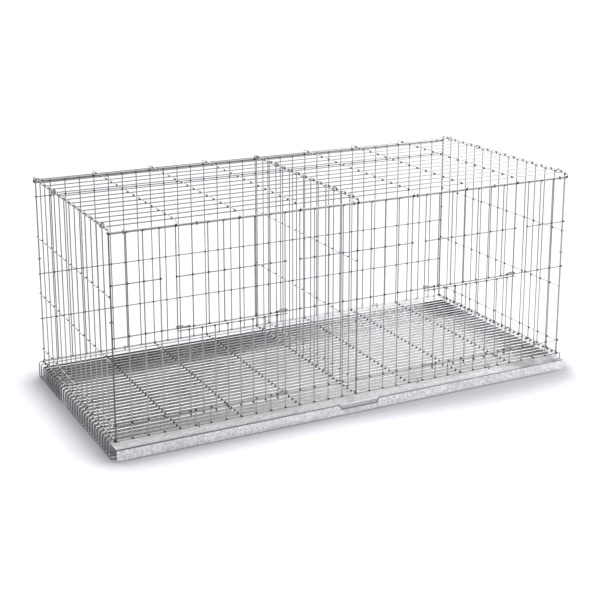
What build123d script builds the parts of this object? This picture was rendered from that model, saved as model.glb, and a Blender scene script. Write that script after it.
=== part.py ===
"""Pigeon show cage: welded wire panels clipped into a two-compartment box, two lifting doors, a drip tray.

Millimetres, +Z up. The origin is on the ground at the middle of the whole object; -Y is the door side.
"""

import os

from build123d import *

os.makedirs("parts", exist_ok=True)

# Box, between the axes of its corner wires
width = 976.0
depth = 450.0
panel_height = 380.0
floor_height = 35.0

# Stock
wire = 2.2
ring_wire = 1.8
sheet = 0.8
weld_gap = 0.02
slide_gap = 0.32

# Front and back mesh: bays across, rails above the floor wires
bays = 32
sill_height = 30.0
head_height = 192.0
upper_height = 288.0
wire_end = 2.0

# Doorways: the bays, from either end, whose wires guide a door
guide_outer = 4
guide_inner = 11
cut_end = 0.5

# Side panels and divider
side_bays = 14
side_rise = 7.0
side_low_rail = 27.0

# Lid and floor
lid_wires = 14
lid_bend = 4.0
cross_spaces = 8
floor_bays = 30
leg_reach = 12.0
leg_bend = 5.0
foot_bend = 4.0
foot_length = 20.0

# Doors
door_wires = 8
door_margin = 19.25
door_drop = 4.0
door_rail_end = 2.5
hook_bend = 1.9
hook_tip = 11.0
loop_depth = 11.0
loop_bend = 10.0

# Tray
tray_side_gap = 5.9
tray_play = 0.3
tray_rear_gap = 6.0
tray_wall = 22.0
tray_reach = 16.0
lip_depth = 36.0
fold_radius = 0.6
front_ground_gap = 3.0
hem_height = 5.0
slot_width = 88.0
slot_height = 9.0
slot_taper = 4.0
slot_drop = 2.5

# C-rings: turn of the bent wire, slack inside it, places along the edges in bays
ring_turn = 335.0
ring_slack = 0.05
lid_front_ring_bays = (0.85, 5.3, 15.7, 20.3, 26.2, 31.5)
lid_back_ring_bays = (0.5, 8.6, 16.4, 24.6, 31.5)
lid_side_ring_bays = (0.75, 9.75, 13.25)
lid_divider_ring_bays = (2.75, 10.75)
floor_front_ring_bays = (5.2, 20.65, 26.3)
floor_back_ring_bays = (5.76, 26.3)
floor_side_ring_bays = (11.5, 24.5)
floor_divider_ring_bays = (7.5, 22.5)
corner_ring_height = 221.0

# Places that follow from the sizes
wire_radius = wire / 2
pitch = wire + weld_gap
small_ring = pitch / 2 + wire_radius + ring_slack + ring_wire / 2
large_ring = pitch + wire_radius + ring_slack + ring_wire / 2

bay = width / bays
half_width = width / 2
rear_reach = pitch + small_ring + ring_wire / 2
front_y = (tray_reach - depth - rear_reach) / 2
back_y = front_y + depth
front_rail_y = front_y - pitch
back_rail_y = back_y + pitch
side_rail_x = half_width + pitch

floor_z = floor_height
top_z = floor_z + panel_height
sill_z = floor_z + sill_height
head_z = floor_z + head_height
upper_z = floor_z + upper_height
side_top_z = top_z + side_rise
lid_long_z = side_top_z + pitch
lid_cross_z = lid_long_z + pitch
lid_edge_z = top_z + pitch

guides = (guide_outer, guide_inner, bays - guide_inner, bays - guide_outer)
doorway_wires = [i for i in range(bays + 1) if guides[0] < i < guides[1] or guides[2] < i < guides[3]]
full_wires = [i for i in range(bays + 1) if i not in doorway_wires]

cross_x = [-half_width + i * width / cross_spaces for i in range(cross_spaces + 1)]
cross_x[0] = -side_rail_x
cross_x[-1] = side_rail_x

side_front_y = front_y + pitch
side_rear_y = back_y - pitch
side_bay = (side_rear_y - side_front_y) / side_bays
side_y = [side_front_y + i * side_bay for i in range(side_bays + 1)]
side_low_z = floor_z + wire_radius + weld_gap
side_step = (side_top_z - floor_z - side_low_rail) / 3
side_rail_z = [floor_z + pitch] + [floor_z + side_low_rail + i * side_step for i in range(4)]

floor_bay = (side_rear_y - side_front_y) / floor_bays
floor_cross_z = floor_z - pitch
leg_x = half_width + leg_reach
foot_z = wire_radius


def across(bays_from_left):
    """X of a place counted in mesh bays from the left corner."""
    return -half_width + bays_from_left * bay


def along_side(side_bays_from_front):
    """Y of a place counted in side panel bays from the front."""
    return side_front_y + side_bays_from_front * side_bay


def along_floor(floor_bays_from_front):
    """Y of a place counted in floor bays from the front."""
    return side_front_y + floor_bays_from_front * floor_bay


# Front panel: close uprights inside, rails outside
with BuildPart() as front_full_uprights:
    with BuildSketch(Plane.XY.offset(floor_z - wire_end)):
        with Locations([(across(i), front_y) for i in full_wires]):
            Circle(wire_radius)
    extrude(amount=panel_height + 2 * wire_end)
front_full_uprights.part.label = "front_full_uprights"

with BuildPart() as front_upper_uprights:
    with BuildSketch(Plane.XY.offset(head_z - wire_end)):
        with Locations([(across(i), front_y) for i in doorway_wires]):
            Circle(wire_radius)
    extrude(amount=top_z - head_z + 2 * wire_end)
front_upper_uprights.part.label = "front_upper_uprights"

with BuildPart() as front_lower_stubs:
    with BuildSketch(Plane.XY.offset(floor_z - wire_end)):
        with Locations([(across(i), front_y) for i in doorway_wires]):
            Circle(wire_radius)
    extrude(amount=sill_height + 2 * wire_end)
front_lower_stubs.part.label = "front_lower_stubs"

with BuildPart() as front_rails:
    with BuildSketch(Plane.YZ.offset(-half_width - wire_end)):
        with Locations([(front_rail_y, z) for z in (floor_z, sill_z, head_z, top_z)]):
            Circle(wire_radius)
    extrude(amount=width + 2 * wire_end)
front_rails.part.label = "front_rails"

# Upper front rail: whole over the doorways, left out in the bays where the door hooks travel
cut_spans = (
    (across(0) - wire_end, across(guides[0] - 1) + wire_end),
    (across(guides[0]) - cut_end, across(guides[1]) + cut_end),
    (across(guides[1] + 1) - wire_end, across(guides[2] - 1) + wire_end),
    (across(guides[2]) - cut_end, across(guides[3]) + cut_end),
    (across(guides[3] + 1) - wire_end, across(bays) + wire_end),
)
with BuildPart() as front_cut_rail:
    for span_start, span_end in cut_spans:
        with BuildSketch(Plane.YZ.offset(span_start)):
            with Locations((front_rail_y, upper_z)):
                Circle(wire_radius)
        extrude(amount=span_end - span_start)
front_cut_rail.part.label = "front_cut_rail"

# Back panel: the same mesh turned upside down, with whole uprights
with BuildPart() as back_uprights:
    with BuildSketch(Plane((0, back_y, floor_z - wire_end))):
        with GridLocations(bay, wire, bays + 1, 1):
            Circle(wire_radius)
    extrude(amount=panel_height + 2 * wire_end)
back_uprights.part.label = "back_uprights"

with BuildPart() as back_rails:
    with BuildSketch(Plane.YZ.offset(-half_width - wire_end)):
        for height in (0, sill_height, head_height, upper_height, panel_height):
            with Locations((back_rail_y, top_z - height)):
                Circle(wire_radius)
    extrude(amount=width + 2 * wire_end)
back_rails.part.label = "back_rails"

# Side panels and divider: uprights stand on the floor wires and carry the lid on their top rails
with BuildPart() as left_uprights:
    with BuildSketch(Plane.XY.offset(side_low_z)):
        with Locations([(-half_width, y) for y in side_y]):
            Circle(wire_radius)
    extrude(amount=side_top_z + wire_radius - side_low_z)
left_uprights.part.label = "left_uprights"

with BuildPart() as left_rails:
    with BuildSketch(Plane.XZ.offset(-back_y)):
        with Locations([(-side_rail_x, z) for z in side_rail_z]):
            Circle(wire_radius)
    extrude(amount=depth)
left_rails.part.label = "left_rails"

with BuildPart() as right_uprights:
    mirror(left_uprights.part, about=Plane.YZ)
right_uprights.part.label = "right_uprights"

with BuildPart() as right_rails:
    mirror(left_rails.part, about=Plane.YZ)
right_rails.part.label = "right_rails"

with BuildPart() as divider_uprights:
    with BuildSketch(Plane.XY.offset(side_low_z)):
        with Locations([(pitch, y) for y in side_y]):
            Circle(wire_radius)
    extrude(amount=side_top_z + wire_radius - side_low_z)
divider_uprights.part.label = "divider_uprights"

divider_inset = wire_radius + weld_gap
with BuildPart() as divider_rails:
    with BuildSketch(Plane.XZ.offset(divider_inset - back_y)):
        with Locations([(0, z) for z in side_rail_z]):
            Circle(wire_radius)
    extrude(amount=depth - 2 * divider_inset)
divider_rails.part.label = "divider_rails"

# Lid: long wires on the side rails, cross wires over them, bent down to the edge wires
lid_bay = depth / lid_wires
with BuildPart() as lid_long_wires:
    with BuildSketch(Plane((-side_rail_x - wire_end, 0, lid_long_z), x_dir=(0, 1, 0), z_dir=(1, 0, 0))):
        with Locations([(front_y + (i + 1 / 2) * lid_bay, 0) for i in range(lid_wires)]):
            Circle(wire_radius)
    extrude(amount=2 * (side_rail_x + wire_end))
lid_long_wires.part.label = "lid_long_wires"

with BuildPart() as lid_edge_wires:
    with BuildSketch(Plane.YZ.offset(-side_rail_x - wire_end)):
        with Locations((front_rail_y, lid_edge_z), (back_rail_y, lid_edge_z)):
            Circle(wire_radius)
    extrude(amount=2 * (side_rail_x + wire_end))
lid_edge_wires.part.label = "lid_edge_wires"

flange_front_y = front_rail_y - pitch
flange_rear_y = back_rail_y + pitch
flange_low_z = lid_edge_z - wire
with BuildPart() as lid_cross_wire:
    with BuildLine(Plane.YZ) as lid_cross_path:
        FilletPolyline(
            (flange_front_y, flange_low_z),
            (flange_front_y, lid_cross_z),
            (flange_rear_y, lid_cross_z),
            (flange_rear_y, flange_low_z),
            radius=lid_bend,
        )
    with BuildSketch(Plane(lid_cross_path.line @ 0, z_dir=lid_cross_path.line % 0)):
        Circle(wire_radius)
    sweep(path=lid_cross_path.line)

with BuildPart() as lid_cross_wires:
    with Locations([(x, 0, 0) for x in cross_x]):
        add(lid_cross_wire.part)
lid_cross_wires.part.label = "lid_cross_wires"

# Floor: each long wire runs on past the side panels, down as a leg and in as a foot; its straight run and
# its two bent ends are solids that meet face to face
span_end = leg_x - leg_bend - wire
floor_y = [along_floor(i) for i in range(floor_bays + 1)]
with BuildPart() as floor_long_wires:
    with BuildSketch(Plane.YZ.offset(-span_end)):
        with Locations([(y, floor_z) for y in floor_y]):
            Circle(wire_radius)
    extrude(amount=2 * span_end)
floor_long_wires.part.label = "floor_long_wires"

with BuildPart() as floor_leg:
    with BuildLine(Plane.XZ) as leg_path:
        FilletPolyline(
            (span_end, floor_z),
            (leg_x, floor_z),
            (leg_x, foot_z),
            (leg_x - foot_length, foot_z),
            radius=(leg_bend, foot_bend),
        )
    with BuildSketch(Plane(leg_path.line @ 0, z_dir=leg_path.line % 0)):
        Circle(wire_radius)
    sweep(path=leg_path.line)

with BuildPart() as floor_right_legs:
    with Locations([(0, y, 0) for y in floor_y]):
        add(floor_leg.part)
floor_right_legs.part.label = "floor_right_legs"

with BuildPart() as floor_left_legs:
    with Locations([Location((0, y, 0)) for y in floor_y]):
        add(mirror(floor_leg.part, about=Plane.YZ))
floor_left_legs.part.label = "floor_left_legs"

with BuildPart() as floor_cross_wires:
    with BuildSketch(Plane.XZ.offset(-side_rear_y - wire_radius)):
        with Locations([(x, floor_cross_z) for x in cross_x]):
            Circle(wire_radius)
    extrude(amount=side_rear_y - side_front_y + wire)
floor_cross_wires.part.label = "floor_cross_wires"

# Doors: uprights in front of two rails, hooks round the guide wires, one wire bent to a finger loop
door_left = across(guides[0]) + door_margin
door_right = across(guides[1]) - door_margin
door_middle = (door_left + door_right) / 2
door_pitch = (door_right - door_left) / (door_wires - 1)
door_spacing = across(guides[2]) - across(guides[0])
door_rail_y = front_rail_y - wire - slide_gap
door_upright_y = door_rail_y - pitch
door_low_z = sill_z - door_drop
door_high_z = head_z - door_drop
hook_step = wire + slide_gap
lift_wire_places = (door_wires // 2 - 1, door_wires // 2)
plain_wire_places = [i for i in range(door_wires) if i not in lift_wire_places]

with BuildPart() as left_door_uprights:
    with BuildSketch(Plane.XY.offset(door_low_z - wire_end)):
        with Locations([(door_left + i * door_pitch, door_upright_y) for i in plain_wire_places]):
            Circle(wire_radius)
    extrude(amount=door_high_z - door_low_z + 2 * wire_end)
left_door_uprights.part.label = "left_door_uprights"

with BuildPart() as left_door_rails:
    with BuildSketch(Plane.YZ.offset(across(guides[0]) - door_rail_end)):
        with Locations((door_rail_y, door_low_z), (door_rail_y, door_high_z)):
            Circle(wire_radius)
    extrude(amount=across(guides[1]) - across(guides[0]) + 2 * door_rail_end)
left_door_rails.part.label = "left_door_rails"

with BuildPart() as left_door_lift_wire:
    with BuildLine(Plane.XZ.offset(-door_upright_y)) as lift_path:
        FilletPolyline(
            (door_middle - door_pitch / 2, door_high_z + wire_end),
            (door_middle - door_pitch / 2, door_low_z - loop_depth),
            (door_middle + door_pitch / 2, door_low_z - loop_depth),
            (door_middle + door_pitch / 2, door_high_z + wire_end),
            radius=loop_bend,
        )
    with BuildSketch(Plane(lift_path.line @ 0, z_dir=lift_path.line % 0)):
        Circle(wire_radius)
    sweep(path=lift_path.line)
left_door_lift_wire.part.label = "left_door_lift_wire"

with BuildPart() as door_hook:
    with BuildLine() as hook_path:
        FilletPolyline(
            (door_left + wire_end, door_rail_y),
            (across(guides[0]) - hook_step, door_rail_y),
            (across(guides[0]) - hook_step, front_y + hook_step),
            (across(guides[0]) + hook_tip, front_y + hook_step),
            radius=hook_bend,
        )
    with BuildSketch(Plane(hook_path.line @ 0, z_dir=hook_path.line % 0)):
        Circle(wire_radius)
    sweep(path=hook_path.line)

with BuildPart() as left_door_hooks:
    with Locations((0, 0, sill_z + hook_step), (0, 0, head_z + hook_step)):
        add(door_hook.part)
    mirror(about=Plane.YZ.offset(door_middle))
left_door_hooks.part.label = "left_door_hooks"

with BuildPart() as right_door_uprights:
    with Locations((door_spacing, 0, 0)):
        add(left_door_uprights.part)
right_door_uprights.part.label = "right_door_uprights"

with BuildPart() as right_door_rails:
    with Locations((door_spacing, 0, 0)):
        add(left_door_rails.part)
right_door_rails.part.label = "right_door_rails"

with BuildPart() as right_door_lift_wire:
    with Locations((door_spacing, 0, 0)):
        add(left_door_lift_wire.part)
right_door_lift_wire.part.label = "right_door_lift_wire"

with BuildPart() as right_door_hooks:
    with Locations((door_spacing, 0, 0)):
        add(left_door_hooks.part)
right_door_hooks.part.label = "right_door_hooks"

# Tray: the panels of one folded sheet, a pan behind a flat lip, a folded-down front with a hem and a finger slot
tray_width = 2 * (leg_x - wire_radius - tray_side_gap)
tray_low_z = wire + tray_play
tray_rim_z = tray_low_z + tray_wall
tray_front_y = front_y - tray_reach
pan_front_y = tray_front_y + lip_depth
pan_rear_y = back_y - tray_rear_gap
pan_depth = pan_rear_y - pan_front_y
pan_middle_y = (pan_rear_y + pan_front_y) / 2
slot_high_z = tray_rim_z - slot_drop
slot_low_z = slot_high_z - slot_height

with BuildPart() as tray_floor:
    with BuildSketch(Plane((0, pan_middle_y, tray_low_z))):
        Rectangle(tray_width - 2 * sheet, pan_depth - 2 * sheet)
    extrude(amount=sheet)
tray_floor.part.label = "tray_floor"

with BuildPart() as tray_side_walls:
    with BuildSketch(Plane((0, pan_middle_y, tray_low_z))):
        with GridLocations(tray_width - sheet, pan_depth, 2, 1):
            Rectangle(sheet, pan_depth)
    extrude(amount=tray_wall)
tray_side_walls.part.label = "tray_side_walls"

with BuildPart() as tray_rear_wall:
    with BuildSketch(Plane((0, pan_rear_y - sheet / 2, tray_low_z))):
        Rectangle(tray_width - 2 * sheet, sheet)
    extrude(amount=tray_wall)
tray_rear_wall.part.label = "tray_rear_wall"

with BuildPart() as tray_front_wall:
    with BuildSketch(Plane((0, pan_front_y + sheet / 2, tray_low_z))):
        Rectangle(tray_width - 2 * sheet, sheet)
    extrude(amount=tray_wall)
tray_front_wall.part.label = "tray_front_wall"

lip_reach = lip_depth - sheet
with BuildPart() as tray_lip:
    with BuildSketch(Plane((0, pan_front_y - lip_reach / 2, tray_rim_z - sheet))):
        Rectangle(tray_width, lip_reach)
    extrude(amount=sheet)
tray_lip.part.label = "tray_lip"

# The front face in four panels round its finger slot, cut on the slant of the slot's ends
front_edge = tray_width / 2
slot_slant = slot_taper / slot_height
slot_top_end = slot_width / 2
slot_bottom_end = slot_width / 2 - slot_taper
face_top_end = slot_top_end + slot_drop * slot_slant
face_bottom_end = slot_bottom_end - (slot_low_z - front_ground_gap) * slot_slant
with BuildPart() as front_sheet:
    with BuildSketch(Plane((0, tray_front_y + sheet / 2, front_ground_gap))):
        Rectangle(tray_width, sheet)
    extrude(amount=tray_rim_z - front_ground_gap)
    fillet(front_sheet.edges().filter_by(Axis.X).group_by(Axis.Z)[-1].sort_by(Axis.Y)[0], radius=fold_radius)

front_panels = []
for label, outline in (
    ("tray_front_left", [(-front_edge, front_ground_gap), (-face_bottom_end, front_ground_gap),
                         (-face_top_end, tray_rim_z), (-front_edge, tray_rim_z)]),
    ("tray_front_right", [(face_bottom_end, front_ground_gap), (front_edge, front_ground_gap),
                          (front_edge, tray_rim_z), (face_top_end, tray_rim_z)]),
    ("tray_slot_top", [(-slot_top_end, slot_high_z), (slot_top_end, slot_high_z),
                       (face_top_end, tray_rim_z), (-face_top_end, tray_rim_z)]),
    ("tray_slot_bottom", [(-face_bottom_end, front_ground_gap), (face_bottom_end, front_ground_gap),
                          (slot_bottom_end, slot_low_z), (-slot_bottom_end, slot_low_z)]),
):
    with BuildPart() as front_panel:
        add(front_sheet.part)
        with BuildSketch(Plane.XZ.offset(-tray_front_y - sheet)):
            with BuildLine():
                Polyline(*outline, close=True)
            make_face()
        extrude(amount=sheet, mode=Mode.INTERSECT)
    front_panel.part.label = label
    front_panels.append(front_panel)

with BuildPart() as tray_hem:
    with BuildSketch(Plane((0, tray_front_y + sheet + sheet / 2, front_ground_gap))):
        Rectangle(tray_width, sheet)
    extrude(amount=hem_height)
tray_hem.part.label = "tray_hem"

# C-rings: a small one for two wires side by side, a large one for two wires with a third between them
with BuildPart() as two_wire_ring:
    with BuildSketch():
        with Locations((0, small_ring)):
            Circle(ring_wire / 2)
    revolve(axis=Axis.X, revolution_arc=ring_turn)

with BuildPart() as three_wire_ring:
    with BuildSketch():
        with Locations((0, large_ring)):
            Circle(ring_wire / 2)
    revolve(axis=Axis.X, revolution_arc=ring_turn)

face_rear = (0, 0, 180)
face_left = (0, 0, 90)
face_right = (0, 0, -90)
lid_edge_ring_z = (top_z + lid_edge_z) / 2

with BuildPart() as lid_front_rings:
    with Locations([(across(i), front_rail_y, lid_edge_ring_z) for i in lid_front_ring_bays]):
        add(two_wire_ring.part)
lid_front_rings.part.label = "lid_front_rings"

with BuildPart() as lid_back_rings:
    with Locations([Location((across(i), back_rail_y, lid_edge_ring_z), face_rear) for i in lid_back_ring_bays]):
        add(two_wire_ring.part)
lid_back_rings.part.label = "lid_back_rings"

with BuildPart() as lid_side_rings:
    with Locations([Location((-side_rail_x, along_side(i), lid_long_z), face_right) for i in lid_side_ring_bays]):
        add(three_wire_ring.part)
    with Locations([Location((side_rail_x, along_side(i), lid_long_z), face_left) for i in lid_side_ring_bays]):
        add(three_wire_ring.part)
lid_side_rings.part.label = "lid_side_rings"

with BuildPart() as floor_front_rings:
    with Locations([(across(i), front_y, floor_z) for i in floor_front_ring_bays]):
        add(three_wire_ring.part)
floor_front_rings.part.label = "floor_front_rings"

with BuildPart() as floor_back_rings:
    with Locations([Location((across(i), back_y, floor_z), face_rear) for i in floor_back_ring_bays]):
        add(three_wire_ring.part)
floor_back_rings.part.label = "floor_back_rings"

with BuildPart() as floor_side_rings:
    with Locations([Location((-side_rail_x, along_floor(i), floor_z), face_right) for i in floor_side_ring_bays]):
        add(three_wire_ring.part)
    with Locations([Location((side_rail_x, along_floor(i), floor_z), face_left) for i in floor_side_ring_bays]):
        add(three_wire_ring.part)
floor_side_rings.part.label = "floor_side_rings"

with BuildPart() as divider_rings:
    with Locations([Location((0, along_side(i), lid_long_z), face_left) for i in lid_divider_ring_bays]):
        add(three_wire_ring.part)
    with Locations([Location((0, along_floor(i), floor_z), face_left) for i in floor_divider_ring_bays]):
        add(three_wire_ring.part)
divider_rings.part.label = "divider_rings"

corner_ring_z = floor_z + corner_ring_height
with BuildPart() as corner_rings:
    for corner_y in (front_y + pitch / 2, back_y - pitch / 2):
        with Locations([Location((x, corner_y, corner_ring_z), (0, 90, 0)) for x in (-half_width, half_width)]):
            add(two_wire_ring.part)
corner_rings.part.label = "corner_rings"

pieces = (
    front_full_uprights, front_upper_uprights, front_lower_stubs, front_rails, front_cut_rail,
    back_uprights, back_rails, left_uprights, left_rails, right_uprights, right_rails,
    divider_uprights, divider_rails, lid_long_wires, lid_edge_wires, lid_cross_wires,
    floor_long_wires, floor_left_legs, floor_right_legs, floor_cross_wires,
    left_door_uprights, left_door_rails, left_door_lift_wire, left_door_hooks,
    right_door_uprights, right_door_rails, right_door_lift_wire, right_door_hooks,
    tray_floor, tray_side_walls, tray_rear_wall, tray_front_wall, tray_lip, *front_panels, tray_hem,
    lid_front_rings, lid_back_rings, lid_side_rings, floor_front_rings, floor_back_rings, floor_side_rings,
    divider_rings, corner_rings,
)
for piece in pieces:
    export_step(piece.part, f"parts/{piece.part.label}.step")
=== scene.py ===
"""Pigeon show cage: welded galvanised wire panels, two lifting doors and a folded drip tray."""
import math

import bmesh
import bpy
from mathutils import Matrix, Vector


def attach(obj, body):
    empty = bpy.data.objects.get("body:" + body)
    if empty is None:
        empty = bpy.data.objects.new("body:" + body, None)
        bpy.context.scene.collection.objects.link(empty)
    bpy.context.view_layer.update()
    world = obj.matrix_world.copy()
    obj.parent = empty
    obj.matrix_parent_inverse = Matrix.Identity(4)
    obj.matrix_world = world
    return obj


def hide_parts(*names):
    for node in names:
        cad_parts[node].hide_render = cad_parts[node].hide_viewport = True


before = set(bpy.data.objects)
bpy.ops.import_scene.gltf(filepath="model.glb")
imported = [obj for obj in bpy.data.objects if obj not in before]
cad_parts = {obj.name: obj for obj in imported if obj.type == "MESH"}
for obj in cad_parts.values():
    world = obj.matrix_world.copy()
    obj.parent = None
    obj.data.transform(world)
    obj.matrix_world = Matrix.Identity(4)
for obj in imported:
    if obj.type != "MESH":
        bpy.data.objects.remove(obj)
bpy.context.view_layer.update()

# Wire, sheet, rings and welds, in metres
MM = 0.001
WIRE = 2.2 * MM
RING_WIRE = 1.8 * MM
SHEET = 0.8 * MM
GAP = 0.02 * MM
SLIDE_GAP = 0.32 * MM
PITCH = WIRE + GAP
WIRE_END = 2.0 * MM
CUT_END = 0.5 * MM
WIRE_BOW = 0.3 * MM
WIRE_SIDES, RING_SIDES, RING_STEPS, BEND_STEPS = 10, 8, 22, 5
RING_CLOSED = math.radians(335)
RING_SPIN = 0.6
WELD_TINT, LID_RIGHT_TINT, LID_LEFT_TINT, FLOOR_TINT = 4.4 * MM, 2.6 * MM, 1.4 * MM, 3.4 * MM
WELD_NUGGET, SMALL_NUGGET, LID_LEFT_NUGGET, FLOOR_NUGGET = 1.9 * MM, 1.35 * MM, 1.2 * MM, 2.4 * MM
TINT_SKIN = 0.09 * MM

# The box, with the origin on the ground under the middle of the whole object
WIDTH = 976 * MM
DEPTH = 450 * MM
PANEL_HEIGHT = 380 * MM
FLOOR_Z = 35 * MM
SILL_Z = FLOOR_Z + 30 * MM
HEAD_Z = FLOOR_Z + 192 * MM
UPPER_Z = FLOOR_Z + 288 * MM
TOP_Z = FLOOR_Z + PANEL_HEIGHT
RAILS_Z = (FLOOR_Z, SILL_Z, HEAD_Z, UPPER_Z, TOP_Z)
LOW_END_Z, HIGH_END_Z = FLOOR_Z - WIRE_END, TOP_Z + WIRE_END
BAYS = 32
BAY = WIDTH / BAYS
HALF = WIDTH / 2
GUIDES = (4, 11, 21, 28)
DOORWAYS = (5, 22)
DOORWAY_WIRES = 6

TRAY_REACH = 16 * MM
RING_ROOM = 0.05 * MM
SMALL_RING = PITCH / 2 + WIRE / 2 + RING_ROOM + RING_WIRE / 2
LARGE_RING = PITCH + WIRE / 2 + RING_ROOM + RING_WIRE / 2
FRONT_Y = (TRAY_REACH - DEPTH - PITCH - SMALL_RING - RING_WIRE / 2) / 2
BACK_Y = FRONT_Y + DEPTH
FRONT_RAIL_Y = FRONT_Y - PITCH
BACK_RAIL_Y = BACK_Y + PITCH
SIDE_RAIL_X = HALF + PITCH

# Sides and divider
SIDE_BAYS = 14
SIDE_FRONT_Y = FRONT_Y + PITCH
SIDE_REAR_Y = BACK_Y - PITCH
SIDE_BAY = (SIDE_REAR_Y - SIDE_FRONT_Y) / SIDE_BAYS
SIDE_TOP_Z = TOP_Z + 7 * MM
SIDE_LOW_Z = FLOOR_Z + WIRE / 2 + GAP
SIDE_FIRST_RAIL, SIDE_RAIL_RISE = 27 * MM, 120 * MM
SIDE_RAILS_Z = [FLOOR_Z + PITCH] + [FLOOR_Z + SIDE_FIRST_RAIL + i * SIDE_RAIL_RISE for i in range(4)]

# Lid
LID_LONG_Z = SIDE_TOP_Z + PITCH
LID_CROSS_Z = LID_LONG_Z + PITCH
LID_EDGE_Z = TOP_Z + PITCH
LID_WIRES = 14
LID_BAY = DEPTH / LID_WIRES
LID_REACH = SIDE_RAIL_X + WIRE_END
LID_BEND = 4 * MM
FLANGE_FRONT_Y, FLANGE_REAR_Y = FRONT_RAIL_Y - PITCH, BACK_RAIL_Y + PITCH
FLANGE_LOW_Z = LID_EDGE_Z - WIRE
CROSS_BAYS = 8
INNER_CROSS_X = [-HALF + i * WIDTH / CROSS_BAYS for i in range(1, CROSS_BAYS)]
CROSS_X = [-SIDE_RAIL_X, *INNER_CROSS_X, SIDE_RAIL_X]

# Floor
FLOOR_BAYS = 30
FLOOR_BAY = (SIDE_REAR_Y - SIDE_FRONT_Y) / FLOOR_BAYS
FLOOR_CROSS_Z = FLOOR_Z - PITCH
LEG_X = HALF + 12 * MM
LEG_BEND = 5 * MM
FOOT_Z = WIRE / 2
FOOT_LENGTH = 20 * MM
FOOT_BEND = 4 * MM

# Doors
DOOR_WIRES = 8
DOOR_MARGIN = 19.25 * MM
DOOR_DROP = 4 * MM
DOOR_RAIL_END = 2.5 * MM
DOOR_RAIL_Y = FRONT_RAIL_Y - WIRE - SLIDE_GAP
DOOR_UPRIGHT_Y = DOOR_RAIL_Y - PITCH
DOOR_LOW_Z = SILL_Z - DOOR_DROP
DOOR_HIGH_Z = HEAD_Z - DOOR_DROP
LOOP_Z = DOOR_LOW_Z - 11 * MM
LOOP_BEND = 10 * MM
HOOK_STEP = WIRE + SLIDE_GAP
HOOK_BEND = 1.9 * MM
HOOK_REACH = 11 * MM
HOOKS_Z = (SILL_Z + HOOK_STEP, HEAD_Z + HOOK_STEP)

# Tray
TRAY_HALF = LEG_X - WIRE / 2 - 5.9 * MM
TRAY_LOW_Z = WIRE + 0.3 * MM
TRAY_RIM_Z = TRAY_LOW_Z + 22 * MM
TRAY_FRONT_Y = FRONT_Y - TRAY_REACH
PAN_FRONT_Y = TRAY_FRONT_Y + 36 * MM
PAN_REAR_Y = BACK_Y - 6 * MM
FACE_LOW_Z = 3 * MM
HEM_HEIGHT = 5 * MM
HEM_BEND = 0.39 * MM
SHEET_FOLD = 0.9 * MM
MERGE_WITHIN = 0.02 * MM
SHARP_FOLD = math.radians(50)
# How far the painted shade of the fold reaches onto the lip, how dark it is over the fold and at the slot,
# and how it lessens to the right
FOLD_SHADE_REACH = 2.2 * MM
FOLD_SHADE, SLOT_SHADE, LESS_SHADE_RIGHT = 0.92, 0.3, 0.2
SLOT_HIGH_Z, SLOT_LOW_Z = TRAY_RIM_Z - 2.5 * MM, TRAY_RIM_Z - 11.5 * MM
SLOT_WIDE, SLOT_NARROW = 44 * MM, 40 * MM
TONGUE_LEAN = math.radians(14)
TONGUE_LENGTH = SLOT_HIGH_Z - SLOT_LOW_Z - 0.5 * MM
# Where the tongue's painted dark tip starts
TONGUE_TIP = 0.78

# C-rings, by bays from the left corner or from the front, and the height of those at the corners
LID_FRONT_RINGS = (0.85, 5.3, 15.7, 20.3, 26.2, 31.5)
LID_BACK_RINGS = (0.5, 8.6, 16.4, 24.6, 31.5)
LID_SIDE_RINGS = (0.75, 9.75, 13.25)
FLOOR_FRONT_RINGS = (5.2, 20.65, 26.3)
FLOOR_BACK_RINGS = (5.76, 26.3)
FLOOR_SIDE_RINGS = (11.5, 24.5)
DIVIDER_TOP_RINGS = (2.75, 10.75)
DIVIDER_FOOT_RINGS = (7.5, 22.5)
CORNER_RING_Z = FLOOR_Z + 221 * MM

# Dark, middle and light tone of each wire, and the colours of wear and stain, of painted light and shade,
# welds, sheet and studio
GALVANISED = (0.178, 0.173, 0.18), (0.254, 0.247, 0.256), (0.426, 0.416, 0.428)
# A darker grey, for the front uprights at the left corner and the divider, and the colour of the painted
# shade at the cage's left end
DARKER_TONES = (0.085, 0.083, 0.086), (0.13, 0.127, 0.131), (0.25, 0.245, 0.252)
# Lighter wires: on the right corner uprights, the front sill, the doors' lower rails and the lid's front rim
# they are painted light
LIGHTER_TONES = (0.37, 0.365, 0.372), (0.46, 0.455, 0.463), (0.62, 0.615, 0.625)
# Bright wires: on the side and divider rails a painted light from above
BRIGHT = (0.564, 0.554, 0.567), (0.685, 0.675, 0.69), (0.855, 0.845, 0.86)
CLIP_STEEL = (0.20, 0.20, 0.205), (0.29, 0.292, 0.298), (0.45, 0.455, 0.46)
# Painted highlight and polish on top of the floor wires
FLOOR_SHEEN_AND_POLISH = (0.94, 0.925, 0.942)
# Painted light towards the right end of the lid
LID_LIGHT = (0.88, 0.87, 0.885)
BURN_DARK, BURN_LIGHT = (0.02, 0.0195, 0.0195), (0.065, 0.064, 0.063)
SHEET_GREY, SHEET_LIGHT, FLAKE_EDGE = (0.56, 0.565, 0.58), (0.88, 0.885, 0.895), (0.90, 0.905, 0.91)
# The lip's stain, the painted shade in the pan and the painted shade along the fold
LIP_STAIN, PAN_SHADE, FOLD_SHADE_COLOUR = (0.34, 0.342, 0.35), (0.06, 0.061, 0.065), (0.08, 0.08, 0.085)
FLOOR_PAINT, FLOOR_GLOW, ROOM_LIGHT = (0.345, 0.347, 0.37, 1), (0.97, 0.977, 1.0, 1), (0.965, 0.965, 1.0, 1)

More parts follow.
